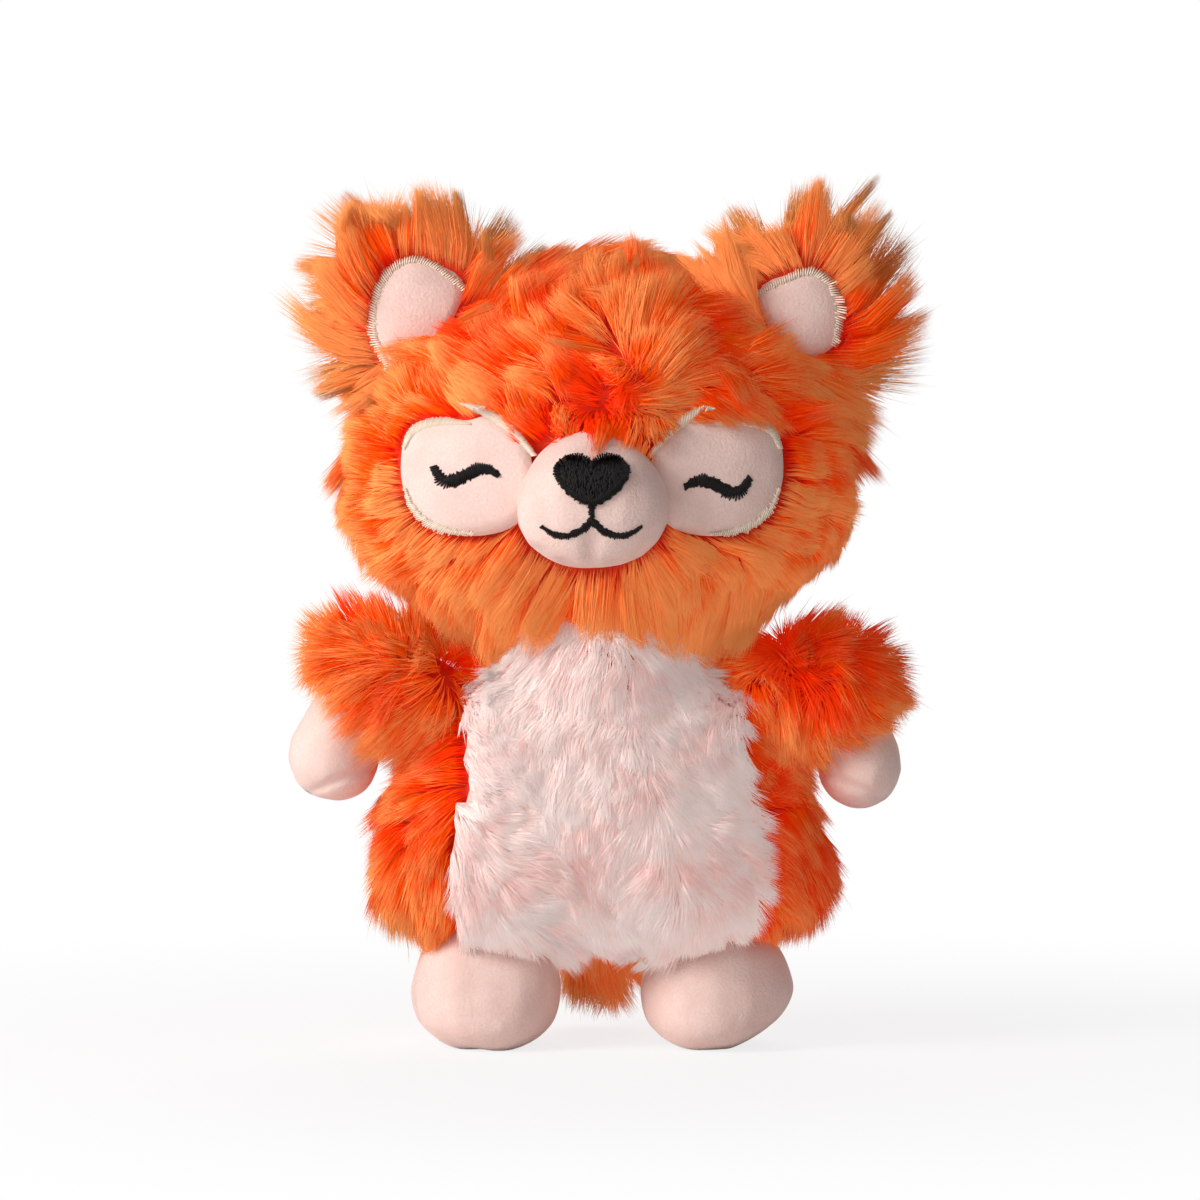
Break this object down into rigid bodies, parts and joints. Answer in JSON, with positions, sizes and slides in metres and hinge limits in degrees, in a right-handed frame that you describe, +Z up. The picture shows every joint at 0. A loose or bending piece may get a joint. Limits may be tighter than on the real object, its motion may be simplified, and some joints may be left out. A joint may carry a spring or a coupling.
{
  "type": "plush dog toy",
  "caption": "Stuffed shaggy red panda dog toy with a round head, fur ears, stitched face, sewn limbs that swing at their seams and a squeaker in its belly.",
  "frame": {"origin": "on the floor under the middle of the toy", "axes": "+Z up, the face looks along -Y, +X to the viewer's right of someone who faces the toy"},
  "size_m": [0.1292, 0.0862, 0.1722],
  "materials": {
    "orange_fur": "long shaggy pile",
    "pale_fur": "long shaggy pile",
    "pink_plush": "short napped pile",
    "cream_thread": "satin-stitched thread",
    "black_thread": "satin-stitched thread",
    "orange_thread": "matte thread",
    "filling": "loose polyester fibre",
    "squeaker_plastic": "soft, slightly milky",
    "reed_plastic": "smooth"
  },
  "bodies": {
    "body": {"squeaker_bulb": "squeaker_plastic", "body_cover": "orange_fur", "belly_panel": "pale_fur", "body_stuffing": "filling"},
    "neck": {"neck_seam": "orange_thread"},
    "head": {"muzzle_cover": "pink_plush", "muzzle_stuffing": "filling", "nose": "black_thread", "mouth": "black_thread", "eye_patch_left": "pink_plush", "eye_patch_edge_left": "cream_thread", "eye_left": "black_thread", "eye_patch_right": "pink_plush", "eye_patch_edge_right": "cream_thread", "eye_right": "black_thread", "head_cover": "orange_fur", "head_stuffing": "filling"},
    "ear_body_left": {"ear_left": "orange_fur", "ear_lining_left": "pink_plush", "ear_edge_left": "cream_thread"},
    "ear_body_right": {"ear_right": "orange_fur", "ear_lining_right": "pink_plush", "ear_edge_right": "cream_thread"},
    "arm_body_left": {"hand_left": "pink_plush", "sleeve_left": "orange_fur", "arm_stuffing_left": "filling"},
    "arm_body_right": {"hand_right": "pink_plush", "sleeve_right": "orange_fur", "arm_stuffing_right": "filling"},
    "foot_body_left": {"foot_left": "pink_plush", "foot_stuffing_left": "filling"},
    "foot_body_right": {"foot_right": "pink_plush", "foot_stuffing_right": "filling"},
    "tail_body": {"tail": "orange_fur"},
    "squeaker": {"squeaker_reed": "reed_plastic"}
  },
  "joints": [
    {"name": "neck_turn", "type": "hinge", "parent": "body", "child": "neck", "pos_m": [0, 0.005, 0.069], "axis": [0, 0, 1], "range_deg": [-20, 20], "stiffness_Nm_per_rad": 0.3},
    {"name": "neck_nod", "type": "hinge", "parent": "neck", "child": "head", "pos_m": [0, 0.005, 0.069], "axis": [1, 0, 0], "range_deg": [-10, 10], "stiffness_Nm_per_rad": 0.6},
    {"name": "ear_left_fold", "type": "hinge", "parent": "head", "child": "ear_body_left", "pos_m": [-0.03263, -0.0005, 0.14194], "axis": [0.7547, 0, 0.6561], "range_deg": [-15, 15], "stiffness_Nm_per_rad": 0.02},
    {"name": "ear_right_fold", "type": "hinge", "parent": "head", "child": "ear_body_right", "pos_m": [0.03263, -0.0005, 0.14194], "axis": [0.7547, 0, -0.6561], "range_deg": [-15, 15], "stiffness_Nm_per_rad": 0.02},
    {"name": "arm_left_lift", "type": "hinge", "parent": "body", "child": "arm_body_left", "pos_m": [-0.03273, 0.002, 0.07], "axis": [0, 1, 0], "range_deg": [-4, 16], "stiffness_Nm_per_rad": 0.06},
    {"name": "arm_right_lift", "type": "hinge", "parent": "body", "child": "arm_body_right", "pos_m": [0.03273, 0.002, 0.07], "axis": [0, -1, 0], "range_deg": [-4, 16], "stiffness_Nm_per_rad": 0.06},
    {"name": "foot_left_swing", "type": "hinge", "parent": "body", "child": "foot_body_left", "pos_m": [-0.023, 0.005, 0.022], "axis": [1, 0, 0], "range_deg": [-15, 15], "stiffness_Nm_per_rad": 0.8},
    {"name": "foot_right_swing", "type": "hinge", "parent": "body", "child": "foot_body_right", "pos_m": [0.023, 0.005, 0.022], "axis": [1, 0, 0], "range_deg": [-15, 15], "stiffness_Nm_per_rad": 0.8},
    {"name": "tail_wag", "type": "hinge", "parent": "body", "child": "tail_body", "pos_m": [0, 0.03182, 0.032], "axis": [0, 1, 0], "range_deg": [-20, 20], "stiffness_Nm_per_rad": 0.02},
    {"name": "squeaker_squeeze", "type": "slide", "parent": "body", "child": "squeaker", "axis": [0, 0, -1], "range_m": [0, 0.008], "stiffness_N_per_m": 150, "deforming": ["squeaker_bulb"]}
  ]
}
